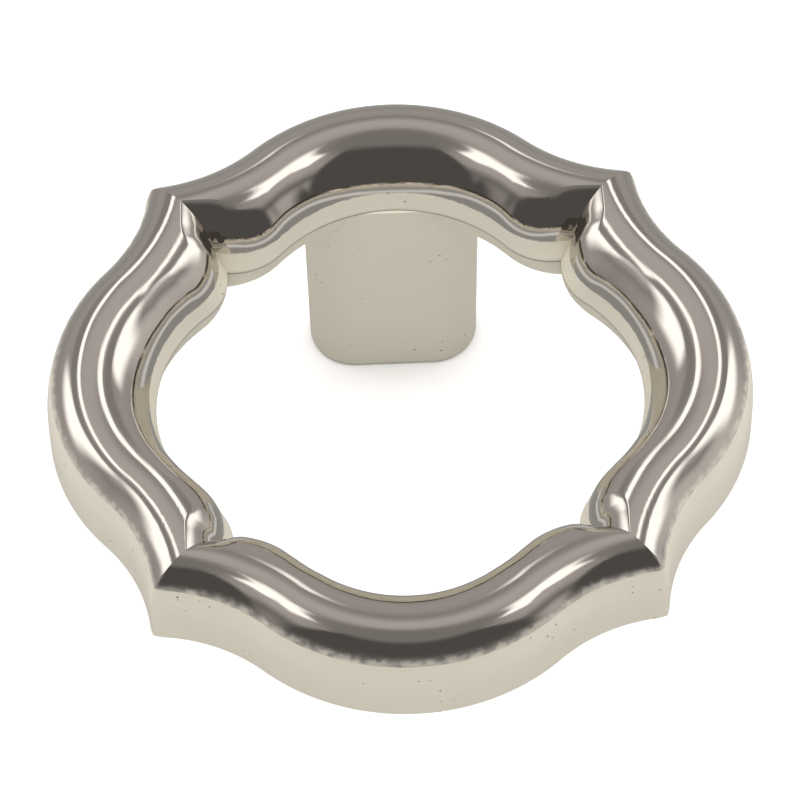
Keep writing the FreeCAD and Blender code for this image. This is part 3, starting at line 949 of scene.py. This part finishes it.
@dataclass(frozen=True)
class LightBox:
    """Pale floor, one soft lamp for it, and the surroundings that the metal mirrors.

    Args:
        floor: colour of the floor.
        lamp: power of the lamp in watts.
        wall: shade of the walls over the sine of the height above the horizon.
        front: shade of the front, towards the camera.
        zenith: shade straight above.
        panel: brightness of the lit panels.
        split: shade of the gap between the lit panels.
        glow: how much brighter the right wall is, low down.
        fade: how much darker the walls are towards the front.
        under: brightness of the floor under the ring, as the metal mirrors it: a painted shadow of the ring.
        sheet: the same round the ring.
        behind: share of that which is left behind the post.
        far: the same far away.
        front_area: edges of the front, and so on for the areas below.
    """

    floor: tuple[float, float, float, float] = (0.9, 0.9, 0.9, 1.0)
    lamp: float = 12.4
    wall: tuple[tuple[float, float], ...] = (
        (0.0, 0.36), (0.2, 0.42), (0.42, 0.42), (0.55, 0.38), (0.65, 0.33), (0.74, 0.42), (0.83, 0.55),
        (0.9, 0.52), (0.96, 0.35), (1.0, 0.25),
    )
    front: float = 0.1
    zenith: float = 0.25
    panel: float = 1.7
    split: float = 0.28
    glow: float = 0.22
    fade: float = 0.12
    under: float = 0.36
    sheet: float = 0.8
    behind: float = 0.75
    far: float = 0.4
    front_area: tuple[Edge, ...] = (Edge(Angle.ASIDE, 115, 124),)
    fade_area: tuple[Edge, ...] = (Edge(Angle.ASIDE, 88, 118),)
    zenith_area: tuple[Edge, ...] = (Edge(Angle.HEIGHT, 68, 80),)
    glow_area: tuple[Edge, ...] = (Edge(Angle.AZIMUTH, 50, 75), Edge(Angle.HEIGHT, 42, 25))
    split_area: tuple[Edge, ...] = (
        Edge(Angle.SLANT, -11, -4), Edge(Angle.SLANT, 13, 6), Edge(Angle.HEIGHT, 20, 28),
        Edge(Angle.HEIGHT, 68, 60), Edge(Angle.ASIDE, 16, 26),
    )
    inner_panel: tuple[Edge, ...] = (
        Edge(Angle.SLANT, 13, 17), Edge(Angle.SLANT, 29, 25), Edge(Angle.HEIGHT, 29, 37),
        Edge(Angle.HEIGHT, 70, 63), Edge(Angle.ASIDE, 6, 14),
    )
    outer_panel: tuple[Edge, ...] = (
        Edge(Angle.SLANT, -7, -13), Edge(Angle.ASIDE, 42, 50), Edge(Angle.ASIDE, 84, 68),
        Edge(Angle.HEIGHT, 13, 28), Edge(Angle.HEIGHT, 60, 52),
    )
    arch_panel: tuple[Edge, ...] = (
        Edge(Angle.HEIGHT, 62, 64.5), Edge(Angle.HEIGHT, 73, 70.5), Edge(Angle.ASIDE, 30, 50),
        Edge(Angle.ASIDE, 96, 88),
    )

    def build(self) -> None:
        """Lay the floor, hang the lamp and set the world."""
        self.lay_floor()
        self.hang_lamp()
        self.set_world()

    def lay_floor(self) -> None:
        """A square floor under the foot: diffuse, so that it keeps the shadow, and mirrored as a pale sheet with a
        painted shadow under the ring.
        """
        half = 0.9
        mesh = bpy.data.meshes.new("floor")
        corners = np.array([[-half, -half, 0], [half, -half, 0], [half, half, 0], [-half, half, 0]])
        mesh.from_pydata(corners - [0, 0, 0.0002], [], [(0, 1, 2, 3)])
        sheet = bpy.data.objects.new("floor", mesh)
        bpy.context.scene.collection.objects.link(sheet)
        made = bpy.data.materials.new("floor")
        made.use_nodes = True
        made.node_tree.nodes.clear()
        w = Wiring(made.node_tree)
        paint = w.node("ShaderNodeBsdfDiffuse", {"Color": self.floor}).outputs[0]
        place = w.node("ShaderNodeTexCoord").outputs["Object"]
        y = w.node("ShaderNodeSeparateXYZ", {0: place}).outputs[1]
        centre = {0: place, 1: (*RING_CENTRE[:2], 0.0)}
        away = w.node("ShaderNodeVectorMath", centre, operation="DISTANCE").outputs["Value"]
        # Painted shadow: the floor as the metal mirrors it is darker under the ring, where its shadow falls, and
        # pale round it.
        sheet_with_painted_shadow = w.ramp(away, 0.036, 0.05, self.under, self.sheet)
        sheet_with_painted_shadow = w.math("MULTIPLY", sheet_with_painted_shadow, w.ramp(y, 0.012, 0.035, 1.0, self.behind))
        strength = w.blend(w.ramp(away, 0.07, 0.088), sheet_with_painted_shadow, self.far)
        seen = w.node("ShaderNodeEmission", {"Color": (1, 0.995, 0.98, 1), "Strength": strength})
        glossy = w.node("ShaderNodeLightPath").outputs["Is Glossy Ray"]
        both = w.node("ShaderNodeMixShader", {0: glossy, 1: paint, 2: seen.outputs[0]}).outputs[0]
        made.node_tree.links.new(both, w.node("ShaderNodeOutputMaterial").inputs[0])
        mesh.materials.append(made)

    def hang_lamp(self) -> None:
        """One wide soft lamp over the floor, which the metal does not mirror."""
        data = bpy.data.lights.new("soft_box", "AREA")
        data.shape, data.size, data.energy = "DISK", 1.2, self.lamp
        lamp = bpy.data.objects.new("soft_box", data)
        lamp.location = (0.0, -0.02, 0.75)
        lamp.visible_glossy = False
        bpy.context.scene.collection.objects.link(lamp)

    @staticmethod
    def angles(w: Wiring) -> dict[Angle, bpy.types.NodeSocket]:
        """Angles of the direction that the world is seen in.

        Args:
            w: wiring of the world's tree.

        Returns:
            A value for each angle.
        """
        direction = w.node("ShaderNodeTexCoord").outputs["Generated"]
        x, y, z = w.node("ShaderNodeSeparateXYZ", {0: direction}).outputs
        azimuth = w.math("MULTIPLY", w.math("ARCTAN2", x, y), math.degrees(1))
        height = w.math("MULTIPLY", w.math("ARCSINE", z), math.degrees(1))
        aside = w.math("ABSOLUTE", azimuth)
        slant = w.math("SUBTRACT", height, aside)
        return {Angle.AZIMUTH: azimuth, Angle.ASIDE: aside, Angle.HEIGHT: height, Angle.SLANT: slant}

    def set_world(self) -> None:
        """Surroundings by direction: grey walls, a black front, and lit panels on each side and above."""
        world = bpy.data.worlds.new("light_box")
        bpy.context.scene.world = world
        world.use_nodes = True
        world.node_tree.nodes.clear()
        w = Wiring(world.node_tree)
        angles = self.angles(w)

        def area(edges: tuple[Edge, ...]) -> bpy.types.NodeSocket:
            """Mask of an area: the product of its soft edges."""
            return w.both(*(w.ramp(angles[edge.angle], edge.outside, edge.inside) for edge in edges))

        up = w.math("SINE", w.math("MULTIPLY", angles[Angle.HEIGHT], math.radians(1)))
        wall = w.shades(up, self.wall)
        wall = w.math("ADD", wall, w.math("MULTIPLY", area(self.glow_area), self.glow))
        wall = w.math("SUBTRACT", wall, w.math("MULTIPLY", area(self.fade_area), self.fade))
        shade = w.blend(area(self.front_area), wall, self.front)
        shade = w.blend(area(self.zenith_area), shade, self.zenith)
        shade = w.blend(w.math("MULTIPLY", area(self.split_area), 0.85), shade, self.split)
        lit = w.math("MAXIMUM", area(self.inner_panel), area(self.outer_panel))
        lit = w.math("MAXIMUM", lit, area(self.arch_panel))
        warm = {0: (1.04, 0.985, 0.975), "Scale": shade}
        tint = w.node("ShaderNodeVectorMath", warm, operation="SCALE").outputs[0]
        colour = w.mix(lit, tint, (self.panel, self.panel, self.panel, 1))
        camera = w.node("ShaderNodeLightPath").outputs["Is Camera Ray"]
        colour = w.mix(camera, colour, (1, 1, 1, 1))
        sky = w.node("ShaderNodeBackground", {"Color": colour, "Strength": 1.0}).outputs[0]
        world.node_tree.links.new(sky, w.node("ShaderNodeOutputWorld").inputs[0])


@dataclass(frozen=True)
class PhotoCamera:
    """The camera at the photo's viewing angle.

    Args:
        aim: point that it is turned to: the ring's centre at the crown's outer edge.
        distance: from that point.
        elevation: above the ring's plane.
        yaw: turn of the handle to the left of the view.
        roll: turn of the picture to the left.
        lens: focal length for a 36 mm wide picture.
        shift: shift of the picture, across and up, in widths.
    """

    aim: tuple[float, float, float] = RING_CENTRE
    distance: float = 0.37795
    elevation: float = math.radians(53.687)
    yaw: float = math.radians(1.184)
    roll: float = math.radians(1.22)
    lens: float = 214.57
    shift: tuple[float, float] = (0.0002, -0.0325)

    def place(self) -> None:
        """Add the camera and make it the scene's."""
        data = bpy.data.cameras.new("photo_camera")
        data.sensor_width, data.lens = 36.0, self.lens
        data.shift_x, data.shift_y = self.shift
        data.clip_start, data.clip_end = 0.01, 20.0
        camera = bpy.data.objects.new("photo_camera", data)
        back = Vector((0.0, -math.cos(self.elevation), math.sin(self.elevation)))
        back.rotate(Matrix.Rotation(-self.yaw, 3, "Z"))
        camera.rotation_mode = "QUATERNION"
        turn = (-back).to_track_quat("-Z", "Y").to_matrix() @ Matrix.Rotation(-self.roll, 3, "Z")
        camera.rotation_quaternion = turn.to_quaternion()
        camera.location = Vector(self.aim) + back * self.distance
        bpy.context.scene.collection.objects.link(camera)
        bpy.context.scene.camera = camera


def main() -> None:
    """Build the handle, dress it, light it and place the camera."""
    logging.basicConfig(level=logging.INFO, format="%(name)s: %(message)s")
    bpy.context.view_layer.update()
    handle = RingPull()
    handle.build()
    handle.dress(Nickel())
    LightBox().build()
    PhotoCamera().place()
    bpy.context.scene.view_settings.view_transform = "Standard"


if __name__ == "__main__":
    main()
